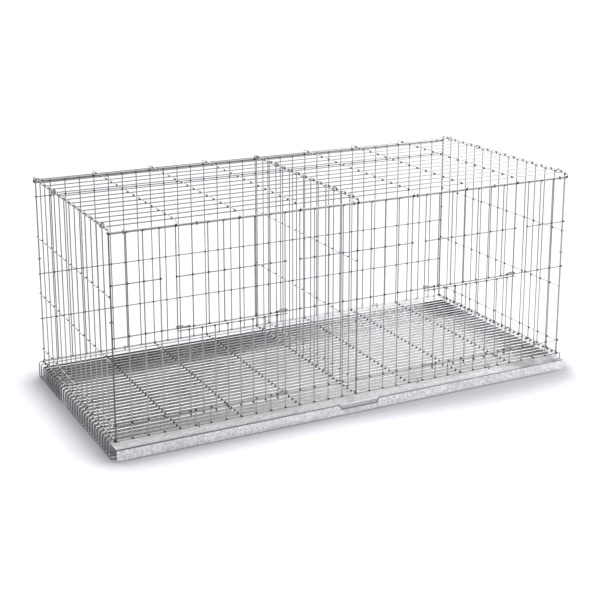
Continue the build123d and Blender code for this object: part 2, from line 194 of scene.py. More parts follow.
# How metallic, rough and bumpy each finish is, and how far and deep the floor darkens
WIRE_METAL, WELD_METAL, SHEET_METAL = 0.85, 0.5, 0.55
WIRE_ROUGH, WELD_ROUGH = (0.30, 0.46), (0.5, 0.7)
DRY_SHEET_ROUGH, WET_SHEET_ROUGH = (0.36, 0.52), (0.22, 0.34)
WIRE_BUMP, WELD_BUMP, SHEET_BUMP = 0.12, 0.35, 0.06
BUMP_DEPTH = 0.4 * MM
SHADOW_REACH, SHADOW_DEPTH = (80 * MM, 130 * MM), (6.2, 20.0)

# Runs over which a finish, a painted light or a painted shade changes: where each begins and ends
ALL = (0.0, 1.0)
# Painted shade that darkens the wires towards the cage's left end
LEFT_SHADE_X = (-450 * MM, -50 * MM)
# Painted light on the lid wires, growing towards the right end
LID_LIGHT_X = (0 * MM, 450 * MM)
HANDLED_Z = (FLOOR_Z + 110 * MM, FLOOR_Z + 230 * MM)
# Where the floor wires get a painted highlight: their tops, the legs and a painted glint on two wires, with
# less near the front and back
FLOOR_WIRE_TOP_Z = (FLOOR_Z - 0.5 * MM, FLOOR_Z + 0.3 * MM)
LEG_SHEEN_X = (LEG_X - 3 * MM, LEG_X - 1 * MM)
# A strip of painted shade across the back of the floor wires
SHADE_STRIP_FRONT_Y, SHADE_STRIP_REAR_Y = BACK_Y - 151 * MM, BACK_Y - 50 * MM
STRIP_FRONT_Y = (SHADE_STRIP_FRONT_Y - 4 * MM, SHADE_STRIP_FRONT_Y + 4 * MM)
STRIP_REAR_Y = (SHADE_STRIP_REAR_Y - 8 * MM, SHADE_STRIP_REAR_Y + 8 * MM)
STRIP_FRONT_EDGE_Y = (SHADE_STRIP_FRONT_Y + 20 * MM, SHADE_STRIP_FRONT_Y + 28 * MM)
STRIP_REAR_EDGE_Y = (SHADE_STRIP_REAR_Y - 28 * MM, SHADE_STRIP_REAR_Y - 20 * MM)
STRIP_X = (-340 * MM, 400 * MM)
GLINT_PAIR_REAR_Y = (STRIP_FRONT_Y[0] - 1 * MM, STRIP_FRONT_Y[0])
GLINT_PAIR_FRONT_Y = (STRIP_FRONT_Y[0] - 2 * FLOOR_BAY, STRIP_FRONT_Y[0] - 2 * FLOOR_BAY + 1 * MM)
GLINT_PAIR_X = (-50 * MM, 300 * MM)
BACK_SHEEN_Y, BACK_SHEEN_X = (BACK_Y - 2 * FLOOR_BAY, BACK_Y - 2 * FLOOR_BAY + 6 * MM), (-200 * MM, 300 * MM)
FRONT_SHEEN_Y, FRONT_SHEEN_X = (FRONT_Y + 15 * MM, FRONT_Y + 65 * MM), (-400 * MM, 300 * MM)
LIP_Z, STAIN_X = (TRAY_RIM_Z - 1.2 * MM, TRAY_RIM_Z - 0.5 * MM), (330 * MM, 410 * MM)
# Painted shade in the pan: slanted from the left, at the right end and in the back right corner
PAN_SHADE_SLANT, PAN_SHADE_SLANT_Y = 200 * MM, (PAN_FRONT_Y, PAN_FRONT_Y + 200 * MM)
PAN_SHADE_X = (-40 * MM, 320 * MM)
PAN_SHADE_END_X = (400 * MM, 470 * MM)
PAN_SHADE_CORNER_X, PAN_SHADE_CORNER_Y = (410 * MM, 460 * MM), (BACK_Y - 85 * MM, BACK_Y - 50 * MM)
SHADOW_GROWS_X, SHADOW_FADES_X = (-200 * MM, 440 * MM), (460 * MM, 530 * MM)


def across(bays):
    """X of a place counted in mesh bays from the left corner."""
    return -HALF + bays * BAY


def along_side(bays):
    """Y of a place counted in mesh bays of a side from the front."""
    return SIDE_FRONT_Y + bays * SIDE_BAY


def along_floor(bays):
    """Y of a place counted in floor wires from the front."""
    return SIDE_FRONT_Y + bays * FLOOR_BAY


# Nodes of any tree


def node_group(kind, name, inputs, outputs):
    """An empty node group with its named sockets, and the sockets at its two ends."""
    tree = bpy.data.node_groups.new(name, kind)
    for label, socket_kind, value in inputs:
        socket = tree.interface.new_socket(label, in_out="INPUT", socket_type="NodeSocket" + socket_kind)
        if value is not None:
            socket.default_value = value
    for label, socket_kind in outputs:
        tree.interface.new_socket(label, in_out="OUTPUT", socket_type="NodeSocket" + socket_kind)
    return tree, tree.nodes.new("NodeGroupInput").outputs, tree.nodes.new("NodeGroupOutput").inputs


def add(tree, kind, *inputs, **named):
    """A new node with its sockets joined or set, in order or by name, with underscores for spaces.

    A name in lower case is a setting of the node itself.
    """
    node = tree.nodes.new(kind)
    wanted = []
    for label, value in named.items():
        if label.islower():
            setattr(node, label, value)
        else:
            wanted.append((label.replace("_", " "), value))
    for label, value in [*enumerate(inputs), *wanted]:
        if isinstance(value, bpy.types.NodeSocket):
            tree.links.new(value, node.inputs[label])
        else:
            node.inputs[label].default_value = value
    return node


def maths(tree, operation, *values):
    """One step of arithmetic."""
    return add(tree, "ShaderNodeMath", *values, operation=operation).outputs[0]


def product(tree, first, *others):
    """All the values multiplied."""
    for other in others:
        first = maths(tree, "MULTIPLY", first, other)
    return first


def most(tree, first, *others):
    """The largest of the values."""
    for other in others:
        first = maths(tree, "MAXIMUM", first, other)
    return first


def least(tree, first, *others):
    """The smallest of the values."""
    for other in others:
        first = maths(tree, "MINIMUM", first, other)
    return first


def spread(tree, value, run, first=0.0, last=1.0):
    """A smooth change from first to last while the value goes through a run."""
    return add(tree, "ShaderNodeMapRange", value, *run, first, last,
               interpolation_type="SMOOTHSTEP").outputs["Result"]


def colour_mix(tree, factor, first, second):
    """From the first colour to the second by a factor."""
    first, second = [(*c, 1.0) if isinstance(c, tuple) else c for c in (first, second)]
    return add(tree, "ShaderNodeMix", data_type="RGBA", Factor=factor, A=first, B=second).outputs["Result"]


def noise(tree, place, scale, detail):
    """Cloudy values from about 0.3 to 0.7."""
    return add(tree, "ShaderNodeTexNoise", Vector=place, Scale=scale, Detail=detail,
               Roughness=0.55).outputs["Fac"]


def axes(tree, place):
    """X, Y and Z of a place."""
    return add(tree, "ShaderNodeSeparateXYZ", place).outputs


def attribute(tree, name):
    """A value that the mesh carries."""
    return add(tree, "ShaderNodeAttribute", attribute_name=name).outputs["Fac"]


def grouped(tree, group, place, **sizes):
    """What a shader group gives at a place."""
    return add(tree, "ShaderNodeGroup", node_tree=group, Place=place, **sizes).outputs


# Finishes


def zinc_bloom_group():
    """Cloudy dulling and fine speckle that a zinc coat gets, on any place of an object."""
    tree, given, out = node_group(
        "ShaderNodeTree", "zinc_bloom",
        [("Place", "Vector", (0, 0, 0)), ("Cloud scale", "Float", 30.0), ("Speckle scale", "Float", 900.0)],
        [("Bloom", "Float"), ("Speckle", "Float")])
    cloud = noise(tree, given["Place"], given["Cloud scale"], 4.0)
    fine = noise(tree, given["Place"], given["Speckle scale"], 2.0)
    tree.links.new(spread(tree, cloud, (0.35, 0.68)), out["Bloom"])
    tree.links.new(spread(tree, fine, (0.38, 0.66)), out["Speckle"])
    return tree


def spangle_group():
    """Crystal flakes of a hot-dip zinc coat: lighter and darker patches of metal, each with a grain."""
    tree, given, out = node_group(
        "ShaderNodeTree", "zinc_spangle",
        [("Place", "Vector", (0, 0, 0)), ("Flakes per metre", "Float", 170.0)],
        [("Flake", "Float"), ("Edge", "Float")])
    place, flakes = given["Place"], given["Flakes per metre"]
    warp = add(tree, "ShaderNodeTexNoise", Vector=place, Scale=220.0).outputs["Color"]
    bent = add(tree, "ShaderNodeVectorMath", warp, (2 * MM, 2 * MM, 2 * MM), place,
               operation="MULTIPLY_ADD").outputs["Vector"]
    cells = add(tree, "ShaderNodeTexVoronoi", Vector=bent, Scale=flakes).outputs["Color"]
    chance = add(tree, "ShaderNodeSeparateColor", cells).outputs["Red"]
    grain = noise(tree, bent, 700.0, 2.0)
    flake = maths(tree, "ADD", product(tree, grain, 0.45), product(tree, chance, 0.62))
    rim = add(tree, "ShaderNodeTexVoronoi", feature="DISTANCE_TO_EDGE", Vector=bent, Scale=flakes)
    tree.links.new(flake, out["Flake"])
    tree.links.new(spread(tree, rim.outputs["Distance"], (0.0, 0.12), 1.0, 0.0), out["Edge"])
    return tree


ZINC_BLOOM = zinc_bloom_group()
ZINC_SPANGLE = spangle_group()


def metal(name, metallic, build):
    """A metal finish: build() adds its nodes and gives a colour, a roughness, a bump and its strength."""
    material = bpy.data.materials.new(name)
    material.use_nodes = True
    tree = material.node_tree
    place = tree.nodes.new("ShaderNodeTexCoord").outputs["Object"]
    colour, rough, height, strength = build(tree, place)
    bump = add(tree, "ShaderNodeBump", Strength=strength, Distance=BUMP_DEPTH, Height=height)
    shader = tree.nodes["Principled BSDF"]
    shader.inputs["Metallic"].default_value = metallic
    tree.links.new(colour, shader.inputs["Base Color"])
    tree.links.new(rough, shader.inputs["Roughness"])
    tree.links.new(bump.outputs["Normal"], shader.inputs["Normal"])
    return material


def wire_look(name, tones, tint_colour=None, tint_where=None, patchy=1.0, left_shade=True):
    """Zinc-coated wire, each with its own tone, darkened towards the cage's left end by painted shade, and
    tinted lighter where a given mask says.

    patchy is the share of the tint that is left where the zinc is clouded.
    """
    dark, mid, light = tones

    def build(tree, place):
        """The wire's colour, roughness and bump."""
        bloom, speckle = grouped(tree, ZINC_BLOOM, place, Cloud_scale=38.0, Speckle_scale=1100.0)
        colour = colour_mix(tree, attribute(tree, "tone"), dark, mid)
        colour = colour_mix(tree, bloom, colour, mid)
        colour = colour_mix(tree, product(tree, speckle, 0.55), colour, light)
        # Painted shade: the wires darken towards the cage's left end
        if left_shade:
            x, _, _ = axes(tree, place)
            colour = colour_mix(tree, spread(tree, x, LEFT_SHADE_X, 0.3, 0.0), colour, DARKER_TONES[0])
        if tint_colour:
            tint_amount = product(tree, tint_where(tree, place), spread(tree, bloom, ALL, 1.0, patchy))
            colour = colour_mix(tree, tint_amount, colour, tint_colour)
        return colour, spread(tree, bloom, ALL, *WIRE_ROUGH), speckle, WIRE_BUMP
    return metal(name, WIRE_METAL, build)


def shade_strip(tree, place):
    """1 on a strip of painted shade near the back of the floor, fading out to the right, less so along its
    edges.
    """
    x, y, _ = axes(tree, place)
    left = spread(tree, x, STRIP_X, 1.0, 0.08)
    front_edge = spread(tree, y, STRIP_FRONT_EDGE_Y, 0.5, 0.0)
    rear_edge = spread(tree, y, STRIP_REAR_EDGE_Y, 0.0, 0.5)
    return product(tree, spread(tree, y, STRIP_FRONT_Y), spread(tree, y, STRIP_REAR_Y, 1.0, 0.0),
                   most(tree, left, front_edge, rear_edge))


def sheen_and_tread(tree, place):
    """1 on top of the floor wires, where the birds stand: a painted highlight and polish; and all round the
    two wires before the shade strip: a painted glint.

    Half on the legs, as a painted highlight; less in the painted shade strip and near the front and back.
    """
    x, y, z = axes(tree, place)
    wire_top = spread(tree, z, FLOOR_WIRE_TOP_Z)
    leg = spread(tree, maths(tree, "ABSOLUTE", x), LEG_SHEEN_X, 0.0, 0.5)
    glint_pair = product(tree, spread(tree, y, GLINT_PAIR_FRONT_Y), spread(tree, y, GLINT_PAIR_REAR_Y, 1.0, 0.0),
                    spread(tree, x, GLINT_PAIR_X, 1.0, 0.0))
    off_strip = spread(tree, shade_strip(tree, place), ALL, 1.0, 0.12)
    near_back = spread(tree, y, BACK_SHEEN_Y, 1.0, spread(tree, x, BACK_SHEEN_X, 0.05, 0.9))
    near_front = spread(tree, y, FRONT_SHEEN_Y, spread(tree, x, FRONT_SHEEN_X, 0.2, 0.65), 1.0)
    return product(tree, most(tree, wire_top, leg, glint_pair), least(tree, off_strip, near_back, near_front))


def handled(tree, place):
    """More on the lower half of the upright wires, which the birds rub."""
    _, _, z = axes(tree, place)
    return spread(tree, z, HANDLED_Z, 0.65, 0.0)


def lid_right_light(tree, place):
    """More towards the right end of the lid: a painted light."""
    x, _, _ = axes(tree, place)
    return spread(tree, x, LID_LIGHT_X, 0.0, 0.5)


def weld_finish(tree, place):
    """Heat tint and burnt zinc."""
    bloom, speckle = grouped(tree, ZINC_BLOOM, place, Cloud_scale=420.0, Speckle_scale=1600.0)
    colour = colour_mix(tree, bloom, BURN_DARK, BURN_LIGHT)
    return colour, spread(tree, speckle, ALL, *WELD_ROUGH), speckle, WELD_BUMP


def sheet_finish(tree, place):
    """Spangled sheet, streaked along its length, stained at the lip's right end, with painted shade in the
    pan and along the fold.
    """
    flake, edge = grouped(tree, ZINC_SPANGLE, place, Flakes_per_metre=300.0)
    bloom, _ = grouped(tree, ZINC_BLOOM, place, Cloud_scale=14.0, Speckle_scale=520.0)
    pan, fold = attribute(tree, "pan"), attribute(tree, "fold")
    x, y, z = axes(tree, place)

    colour = colour_mix(tree, spread(tree, flake, (0.2, 0.85)), SHEET_GREY, SHEET_LIGHT)
    colour = colour_mix(tree, product(tree, edge, 0.15), colour, FLAKE_EDGE)
    drawn = add(tree, "ShaderNodeMapping", Vector=place, Scale=(5.0, 260.0, 260.0)).outputs["Vector"]
    streak = spread(tree, noise(tree, drawn, 1.0, 2.0), (0.42, 0.72), 0.0, 0.38)
    colour = colour_mix(tree, streak, colour, SHEET_GREY)
    colour = colour_mix(tree, product(tree, bloom, 0.30), colour, SHEET_GREY)

    blots = spread(tree, noise(tree, place, 26.0, 3.0), (0.36, 0.56), 0.35, 1.0)
    stain = product(tree, spread(tree, z, LIP_Z), spread(tree, x, STAIN_X), blots)
    colour = colour_mix(tree, stain, colour, LIP_STAIN)

    # Painted shade in the pan: darker at the left, at the right end and in the back right corner
    slant = spread(tree, y, PAN_SHADE_SLANT_Y, PAN_SHADE_SLANT, 0.0)
    left = spread(tree, maths(tree, "SUBTRACT", x, slant), PAN_SHADE_X, 0.86, 0.23)
    right_end = spread(tree, x, PAN_SHADE_END_X, 0.0, 0.5)
    corner = product(tree, spread(tree, x, PAN_SHADE_CORNER_X, 0.0, 0.97), spread(tree, y, PAN_SHADE_CORNER_Y))
    pan_shade = product(tree, most(tree, left, right_end, corner), spread(tree, bloom, ALL, 0.86, 1.0))
    colour = colour_mix(tree, product(tree, pan, pan_shade), colour, PAN_SHADE)
    # Painted shade along the fold, at the slot and on the tongue
    colour = colour_mix(tree, product(tree, fold, 0.92), colour, FOLD_SHADE_COLOUR)

    dry, wet = [spread(tree, flake, ALL, *rough) for rough in (DRY_SHEET_ROUGH, WET_SHEET_ROUGH)]
    rough = add(tree, "ShaderNodeMix", Factor=pan, A=dry, B=wet).outputs["Result"]
    return colour, rough, flake, SHEET_BUMP


GALVANISED_WIRE = wire_look("galvanised_wire_look", GALVANISED)
DARKER_WIRE = wire_look("darker_wire_look", DARKER_TONES)
# Lighter wires, in places a painted light
LIGHTER_WIRE = wire_look("lighter_wire_look", LIGHTER_TONES)
BRIGHT_WIRE = wire_look("bright_wire_look", BRIGHT)
# Floor wires with a painted highlight and polish on top
FLOOR_SHEEN_WIRE = wire_look("floor_sheen_wire_look", GALVANISED, FLOOR_SHEEN_AND_POLISH, sheen_and_tread, 0.86, left_shade=False)
# Lid wires with painted light towards the right end
LID_LIT_WIRE = wire_look("lid_lit_wire_look", GALVANISED, LID_LIGHT, lid_right_light)
FRONT_WIRE = wire_look("front_wire_look", GALVANISED, LIGHTER_TONES[1], handled, 0.8)
RING_STEEL = wire_look("clip_steel_look", CLIP_STEEL)
WELD_BURN = metal("weld_burn_look", WELD_METAL, weld_finish)
GALVANISED_SHEET = metal("galvanised_sheet_look", SHEET_METAL, sheet_finish)


# Shapes that repeat


def geometry_tree(name, sizes):
    """An empty geometry tree that takes a geometry, named sizes and a finish, and gives a geometry."""
    return node_group("GeometryNodeTree", name,
                      [("Geometry", "Geometry", None), *sizes, ("Finish", "Material", None)],
                      [("Geometry", "Geometry")])


def finished(tree, geometry, given, out):
    """The last nodes of a geometry tree: smooth, made real and with the given finish."""
    smooth = add(tree, "GeometryNodeSetShadeSmooth", Geometry=geometry)
    solid = add(tree, "GeometryNodeRealizeInstances", Geometry=smooth.outputs["Geometry"])
    done = add(tree, "GeometryNodeSetMaterial", Geometry=solid.outputs["Geometry"], Material=given["Finish"])
    tree.links.new(done.outputs["Geometry"], out["Geometry"])
    return tree


def tube(tree, curve, sides, radius):
    """A round section along a curve."""
    section = add(tree, "GeometryNodeCurvePrimitiveCircle", Resolution=sides, Radius=radius)
    return add(tree, "GeometryNodeCurveToMesh", Curve=curve, Profile_Curve=section.outputs["Curve"],
               Fill_Caps=True).outputs["Mesh"]


def wire_row_tree():
    """A row of equal wires: the given line, its bends rounded, repeated by a step, with a round section."""
    tree, given, out = geometry_tree("wire_row", [
        ("Count", "Int", 1), ("Step", "Vector", (0, 0, 0)), ("Radius", "Float", WIRE / 2),
        ("Sides", "Int", WIRE_SIDES), ("Bow", "Float", WIRE_BOW), ("Seed", "Int", 1)])
    line = add(tree, "GeometryNodeMeshToCurve", Mesh=given["Geometry"]).outputs["Curve"]
    bend = add(tree, "GeometryNodeInputNamedAttribute", data_type="FLOAT", Name="bend").outputs["Attribute"]
    bent = add(tree, "GeometryNodeFilletCurve", mode="POLY", Curve=line, Radius=bend, Count=BEND_STEPS,
               Limit_Radius=True)
    places = add(tree, "GeometryNodeMeshLine", Count=given["Count"], Offset=given["Step"])
    copies = add(tree, "GeometryNodeInstanceOnPoints", Points=places.outputs["Mesh"],
                 Instance=bent.outputs["Curve"])
    wires = add(tree, "GeometryNodeRealizeInstances", Geometry=copies.outputs["Instances"])
    drift = add(tree, "ShaderNodeTexNoise", noise_dimensions="4D", W=given["Seed"], Scale=14.0, Detail=1.0)
    centred = add(tree, "ShaderNodeVectorMath", drift.outputs["Color"], (0.5, 0.5, 0.5), operation="SUBTRACT")
    scaled = add(tree, "ShaderNodeVectorMath", centred.outputs["Vector"], operation="SCALE",
                 Scale=given["Bow"])
    bowed = add(tree, "GeometryNodeSetPosition", Geometry=wires.outputs["Geometry"],
                Offset=scaled.outputs["Vector"])
    chance = add(tree, "FunctionNodeRandomValue", data_type="FLOAT", Seed=given["Seed"])
    toned = add(tree, "GeometryNodeStoreNamedAttribute", data_type="FLOAT", domain="CURVE", Name="tone",
                Geometry=bowed.outputs["Geometry"], Value=chance.outputs["Value"])
    return finished(tree, tube(tree, toned.outputs["Geometry"], given["Sides"], given["Radius"]), given, out)


def weld_tree():
    """A resistance weld at each given point: heat tint round both wires, a squeezed nugget between them."""
    tree, given, out = geometry_tree("welds", [
        ("Turn", "Rotation", None), ("Wire radius", "Float", WIRE / 2), ("Apart", "Float", PITCH),
        ("Tint length", "Float", WELD_TINT), ("Nugget", "Float", WELD_NUGGET), ("Seed", "Int", 1)])
    skin = maths(tree, "ADD", given["Wire radius"], TINT_SKIN)
    sleeve = add(tree, "GeometryNodeMeshCylinder", fill_type="NGON", Vertices=8, Radius=skin,
                 Depth=given["Tint length"])
    weld = tree.nodes.new("GeometryNodeJoinGeometry")
    for side, turn in ((0.5, (0, math.pi / 2, 0)), (-0.5, (math.pi / 2, 0, 0))):
        lift = add(tree, "ShaderNodeCombineXYZ", Z=product(tree, given["Apart"], side))
        tint = add(tree, "GeometryNodeTransform", Geometry=sleeve.outputs["Mesh"],
                   Translation=lift.outputs["Vector"], Rotation=turn)
        tree.links.new(tint.outputs["Geometry"], weld.inputs["Geometry"])
    bead = add(tree, "GeometryNodeMeshUVSphere", Segments=7, Rings=4, Radius=given["Nugget"])
    squeezed = add(tree, "GeometryNodeTransform", Geometry=bead.outputs["Mesh"], Scale=(1.0, 1.0, 0.95))
    tree.links.new(squeezed.outputs["Geometry"], weld.inputs["Geometry"])
    size = add(tree, "FunctionNodeRandomValue", data_type="FLOAT", Min=0.99, Max=1.06, Seed=given["Seed"])
    spots = add(tree, "GeometryNodeMeshToPoints", Mesh=given["Geometry"])
    copies = add(tree, "GeometryNodeInstanceOnPoints", Points=spots.outputs["Points"],
                 Instance=weld.outputs["Geometry"], Rotation=given["Turn"], Scale=size.outputs["Value"])
    return finished(tree, copies.outputs["Instances"], given, out)


def ring_tree():
    """A C-ring closed round the wires at each given point, each a little differently turned."""
    tree, given, out = geometry_tree("c_rings", [
        ("Ring radius", "Float", SMALL_RING), ("Wire radius", "Float", RING_WIRE / 2),
        ("Closed angle", "Float", RING_CLOSED), ("Turn", "Rotation", None), ("Seed", "Int", 1)])
    arc = add(tree, "GeometryNodeCurveArc", Resolution=RING_STEPS, Radius=given["Ring radius"],
              Sweep_Angle=given["Closed angle"])
    ring = tube(tree, arc.outputs["Curve"], RING_SIDES, given["Wire radius"])
    spots = add(tree, "GeometryNodeMeshToPoints", Mesh=given["Geometry"])
    copies = add(tree, "GeometryNodeInstanceOnPoints", Points=spots.outputs["Points"], Instance=ring,
                 Rotation=given["Turn"])
    spin = add(tree, "FunctionNodeRandomValue", data_type="FLOAT_VECTOR", Min=(0, 0, -RING_SPIN),
               Max=(0, 0, RING_SPIN), Seed=given["Seed"])
    turn = add(tree, "FunctionNodeEulerToRotation", Euler=spin.outputs["Value"])
    turned = add(tree, "GeometryNodeRotateInstances", Instances=copies.outputs["Instances"],
                 Rotation=turn.outputs["Rotation"])
    return finished(tree, turned.outputs["Instances"], given, out)


WIRE_ROW = wire_row_tree()
WELDS = weld_tree()
C_RINGS = ring_tree()


def grown(tree, points, edges=(), bends=None, **values):
    """The plain mesh that a geometry tree grows from a few points."""
    seed_mesh = bpy.data.meshes.new("base")
    seed_mesh.from_pydata(points, edges, [])
    if bends is not None:
        seed_mesh.attributes.new("bend", "FLOAT", "POINT").data.foreach_set("value", bends)
    base = bpy.data.objects.new("base", seed_mesh)
    bpy.context.scene.collection.objects.link(base)
    modifier = base.modifiers.new("grow", "NODES")
    modifier.node_group = tree
    for socket in tree.interface.items_tree:
        if socket.in_out == "INPUT" and socket.name in values:
            modifier[socket.identifier] = values[socket.name]
    view = bpy.context.evaluated_depsgraph_get()
    mesh = bpy.data.meshes.new_from_object(base.evaluated_get(view))
    bpy.data.objects.remove(base)
    bpy.data.meshes.remove(seed_mesh)
    return mesh


def wires(points, bends, **values):
    """A row of wires along a line of points; bends gives the radius at each."""
    edges = [(i, i + 1) for i in range(len(points) - 1)]
    return grown(WIRE_ROW, points, edges, bends, **values)


def row(first, second, count=1, step=(0, 0, 0), seed=1, cuts=8, finish=GALVANISED_WIRE):
    """Straight wires from first to second, repeated."""
    first, second = Vector(first), Vector(second)
    points = [first.lerp(second, i / cuts) for i in range(cuts + 1)]
    return wires(points, [0.0] * len(points), Count=count, Step=step, Seed=seed, Finish=finish)


def uprights(x, y, low, high, count=1, bay=BAY, **look):
    """Upright wires side by side along the front or back."""
    return row((x, y, low), (x, y, high), count, (bay, 0, 0), **look)


def rail(left, right, y, z, **look):
    """A wire along X."""
    return row((left, y, z), (right, y, z), **look)


def bent_row(points, bends, count=1, step=(0, 0, 0), seed=1, finish=GALVANISED_WIRE):
    """Bent wires through the given corners, repeated; bends gives each inner corner's radius."""
    return wires(points, [0.0, *bends, 0.0], Count=count, Step=step, Seed=seed, Bow=0.0, Finish=finish)


def facing(first, outward):
    """The turn that lays the first axis of a weld or ring along one way and its last axis along another."""
    first, outward = Vector(first), Vector(outward)
    return Matrix((first, outward.cross(first), outward)).transposed().to_euler()


def welds(points, outer_wire, outward, tint=WELD_TINT, nugget=WELD_NUGGET):
    """Welds midway between crossing wires."""
    return grown(WELDS, points, Turn=facing(outer_wire, outward), Nugget=nugget, Finish=WELD_BURN,
                 **{"Tint length": tint})


def rings(points, radius, axis):
    """C-rings about an axis."""
    side = (0, 1, 0) if axis[1] == 0 else (1, 0, 0)
    return grown(C_RINGS, points, Turn=facing(side, axis), Finish=RING_STEEL, **{"Ring radius": radius})


def piece(name, meshes, body, nodes):
    """One object of several meshes, with their finishes, that rides on a body and stands for its nodes."""
    parts = []
    for index, mesh in enumerate(meshes):
        part = bpy.data.objects.new(name if index == 0 else "part", mesh)
        bpy.context.scene.collection.objects.link(part)
        parts.append(part)
    with bpy.context.temp_override(active_object=parts[0], object=parts[0], selected_objects=parts,
                                   selected_editable_objects=parts):
        bpy.ops.object.join()
    whole = parts[0]
    whole.data.name = name
    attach(whole, body)
    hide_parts(*nodes)


# Front panel: each group of full uprights by its first bay and its number of wires

front = []
for start, count, finish in ((0, 1, DARKER_WIRE), (1, 4, FRONT_WIRE), (11, 5, FRONT_WIRE),
                             (16, 1, GALVANISED_WIRE), (17, 5, FRONT_WIRE), (28, 4, FRONT_WIRE),
                             (32, 1, LIGHTER_WIRE)):
    front.append(uprights(across(start), FRONT_Y, LOW_END_Z, HIGH_END_Z, count, seed=start + 1,
                          finish=finish))
# Short uprights over each doorway, and stubs under it
for start in DOORWAYS:
    front.append(uprights(across(start), FRONT_Y, HEAD_Z - WIRE_END, HIGH_END_Z, DOORWAY_WIRES,
                          seed=start + 2, cuts=4))
    front.append(uprights(across(start), FRONT_Y, LOW_END_Z, SILL_Z + WIRE_END, DOORWAY_WIRES,
                          seed=start + 3, cuts=2, finish=FRONT_WIRE))
# Four whole rails, and one that is cut in five so that the door hooks can pass
for place, z in enumerate((FLOOR_Z, SILL_Z, HEAD_Z, TOP_Z)):
    front.append(rail(-HALF - WIRE_END, HALF + WIRE_END, FRONT_RAIL_Y, z, seed=40 + place, cuts=20,
                      finish=LIGHTER_WIRE if z == SILL_Z else GALVANISED_WIRE))
for place, (start, end, past) in enumerate(((0, 3, WIRE_END), (4, 11, CUT_END), (12, 20, WIRE_END),
                                            (21, 28, CUT_END), (29, 32, WIRE_END))):
    front.append(rail(across(start) - past, across(end) + past, FRONT_RAIL_Y, UPPER_Z, seed=50 + place))
# Smaller welds where the doors slide past
weld_y = (FRONT_Y + FRONT_RAIL_Y) / 2
for at_guides, nugget in ((True, SMALL_NUGGET), (False, WELD_NUGGET)):
    spots = [(across(i), weld_y, z) for i in range(BAYS + 1) if (i in GUIDES) == at_guides for z in RAILS_Z]
    front.append(welds(spots, (1, 0, 0), (0, -1, 0), nugget=nugget))
piece("front_panel", front, "cage",
      ["front_full_uprights", "front_upper_uprights", "front_lower_stubs", "front_rails", "front_cut_rail"])

# Back panel: the same mesh upside down

back_rails_z = [TOP_Z - (z - FLOOR_Z) for z in RAILS_Z]
back = [uprights(-HALF, BACK_Y, LOW_END_Z, HIGH_END_Z, BAYS + 1, seed=61)]
for place, z in enumerate(back_rails_z):
    back.append(rail(-HALF - WIRE_END, HALF + WIRE_END, BACK_RAIL_Y, z, seed=62 + place, cuts=20,
                     finish=LIGHTER_WIRE if z == back_rails_z[-1] else GALVANISED_WIRE))
weld_y = (BACK_Y + BACK_RAIL_Y) / 2
spots = [(across(i), weld_y, z) for i in range(BAYS + 1) for z in back_rails_z]
back.append(welds(spots, (1, 0, 0), (0, 1, 0)))
piece("back_panel", back, "cage", ["back_uprights", "back_rails"])

# Sides and divider

side_y = [along_side(i) for i in range(SIDE_BAYS + 1)]
for name, upright_x, rail_x, inset, seed, corner in (
        ("left", -HALF, -SIDE_RAIL_X, 0, 70, DARKER_WIRE), ("right", HALF, SIDE_RAIL_X, 0, 80, LIGHTER_WIRE),
        ("divider", PITCH, 0, WIRE / 2 + GAP, 90, DARKER_WIRE)):
    panel = []
    for start, count, finish in ((0, 1, corner), (1, SIDE_BAYS, FRONT_WIRE)):
        foot, head = [(upright_x, side_y[start], z) for z in (SIDE_LOW_Z, SIDE_TOP_Z + WIRE / 2)]
        panel.append(row(foot, head, count, (0, SIDE_BAY, 0), seed=seed + 7 * start, finish=finish))
    for place, z in enumerate(SIDE_RAILS_Z):
        # The rails are bright: painted light from above
        panel.append(row((rail_x, FRONT_Y + inset, z), (rail_x, BACK_Y - inset, z), seed=seed + place,
                         cuts=12, finish=BRIGHT_WIRE))
    weld_x = (upright_x + rail_x) / 2
    outward = (1, 0, 0) if rail_x > upright_x else (-1, 0, 0)
    panel.append(welds([(weld_x, y, z) for y in side_y for z in SIDE_RAILS_Z], (0, 1, 0), outward))
    piece(name + "_panel", panel, "cage", [name + "_uprights", name + "_rails"])

# Lid

lid_y = [FRONT_Y + (i + 0.5) * LID_BAY for i in range(LID_WIRES)]
lid = [rail(-LID_REACH, LID_REACH, lid_y[0], LID_LONG_Z, count=LID_WIRES, step=(0, LID_BAY, 0), seed=101,
            cuts=20, finish=LID_LIT_WIRE)]
for seed, y, finish in ((103, FRONT_RAIL_Y, LIGHTER_WIRE), (104, BACK_RAIL_Y, LID_LIT_WIRE)):
    lid.append(rail(-LID_REACH, LID_REACH, y, LID_EDGE_Z, seed=seed, cuts=20, finish=finish))
for place, x in enumerate(CROSS_X):
    lid.append(bent_row([(x, FLANGE_FRONT_Y, FLANGE_LOW_Z), (x, FLANGE_FRONT_Y, LID_CROSS_Z),
                         (x, FLANGE_REAR_Y, LID_CROSS_Z), (x, FLANGE_REAR_Y, FLANGE_LOW_Z)],
                        [LID_BEND, LID_BEND], seed=110 + place, finish=BRIGHT_WIRE))
weld_z = (LID_LONG_Z + LID_CROSS_Z) / 2
for welded_x, tint, nugget in ((INNER_CROSS_X, WELD_TINT, WELD_NUGGET),
                               ([SIDE_RAIL_X], LID_RIGHT_TINT, WELD_NUGGET),
                               ([-SIDE_RAIL_X], LID_LEFT_TINT, LID_LEFT_NUGGET)):
    lid.append(welds([(x, y, weld_z) for x in welded_x for y in lid_y], (0, 1, 0), (0, 0, 1), tint, nugget))
